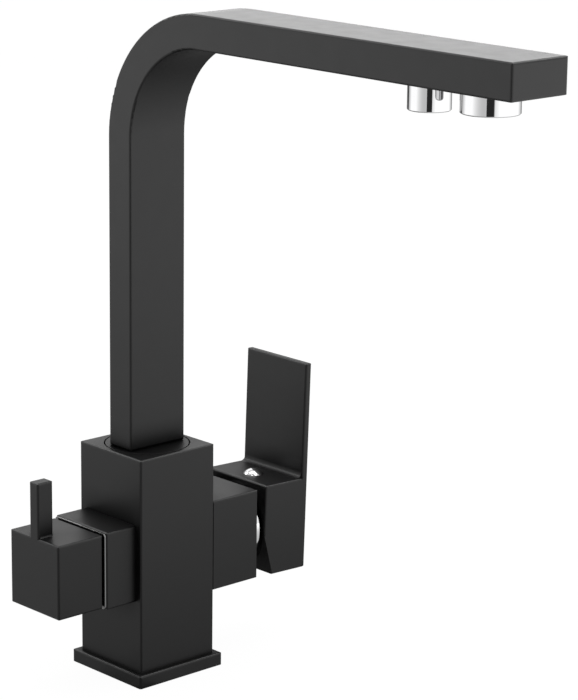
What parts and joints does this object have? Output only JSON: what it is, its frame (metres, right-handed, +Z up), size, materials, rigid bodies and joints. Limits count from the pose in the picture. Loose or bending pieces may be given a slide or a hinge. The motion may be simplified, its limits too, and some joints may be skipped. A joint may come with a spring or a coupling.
{
  "type": "three way kitchen tap",
  "caption": "Square matt black kitchen tap with a swivelling flat spout, a mixer lever on one side, a filtered water knob on the other and two separate outlets.",
  "frame": {"origin": "centre of the deck face, where the flange meets the worktop", "axes": "+Z up, -Y along the spout at rest towards the user, +X to the mixer lever, -X to the filtered water knob"},
  "size_m": [0.1571, 0.2715, 0.3264],
  "materials": {
    "matt_black": "satin black powder coat or electrophoretic coat over brass",
    "chrome": "polished chrome",
    "shim": "bright plate",
    "rubber": "matt black rubber",
    "brass": "machined",
    "steel": "machined stainless steel",
    "ceramic": "lapped white alumina",
    "polymer": "moulded acetal"
  },
  "bodies": {
    "column": {"body_column": "matt_black", "base_flange": "matt_black", "base_seal": "rubber", "spout_bush": "polymer", "spout_lock_screw": "steel", "filter_arm": "matt_black", "filter_arm_gasket": "rubber", "filter_valve_body": "brass", "filter_seat_seal": "rubber", "filter_fixed_disc": "ceramic", "knob_shim": "shim", "mixer_arm": "matt_black", "mixer_arm_gasket": "rubber", "cartridge_base": "polymer", "cartridge_base_seals": "rubber", "mixer_fixed_disc": "ceramic", "cartridge_housing": "polymer", "cartridge_nut": "brass", "dome_cover": "chrome"},
    "spout": {"spout_tube": "matt_black", "spout_collar": "matt_black", "spout_stem": "brass", "stem_seals": "rubber", "filter_tube": "polymer", "mixed_outlet_boss": "brass", "filter_outlet_boss": "brass", "aerator_housing": "chrome", "aerator_insert": "polymer", "aerator_washer": "rubber", "filter_nozzle": "chrome", "filter_nozzle_insert": "polymer", "filter_nozzle_washer": "rubber"},
    "filter_knob": {"filter_knob": "matt_black", "filter_spindle": "brass", "filter_moving_disc": "ceramic", "spindle_seals": "rubber", "spindle_clip": "steel", "knob_screw": "steel"},
    "rotor": {"cartridge_rotor": "polymer", "lever_pin": "steel"},
    "discs": {"disc_carrier": "polymer", "mixer_moving_disc": "ceramic"},
    "lever": {"lever_stem": "steel", "mixer_handle": "matt_black", "handle_screw": "steel", "handle_cap": "chrome"}
  },
  "joints": [
    {"name": "spout_swivel", "type": "hinge", "parent": "column", "child": "spout", "pos_m": [0, 0, 0.1], "axis": [0, 0, 1], "continuous": true},
    {"name": "filter_turn", "type": "hinge", "parent": "column", "child": "filter_knob", "pos_m": [-0.05, 0, 0.061], "axis": [1, 0, 0], "range_deg": [0, 90]},
    {"name": "mixer_temperature", "type": "hinge", "parent": "column", "child": "rotor", "pos_m": [0.0415, 0, 0.061], "axis": [1, 0, 0], "range_deg": [-45, 45]},
    {"name": "mixer_lift", "type": "hinge", "parent": "rotor", "child": "lever", "pos_m": [0.0515, 0, 0.061], "axis": [0, 1, 0], "range_deg": [0, 20]},
    {"name": "disc_slide", "type": "slide", "parent": "rotor", "child": "discs", "axis": [0, 0, 1], "range_m": [0, 0.0036]}
  ],
  "couplings": [
    {"joint": "disc_slide", "follows": "mixer_lift", "m_per_rad": 0.01}
  ]
}
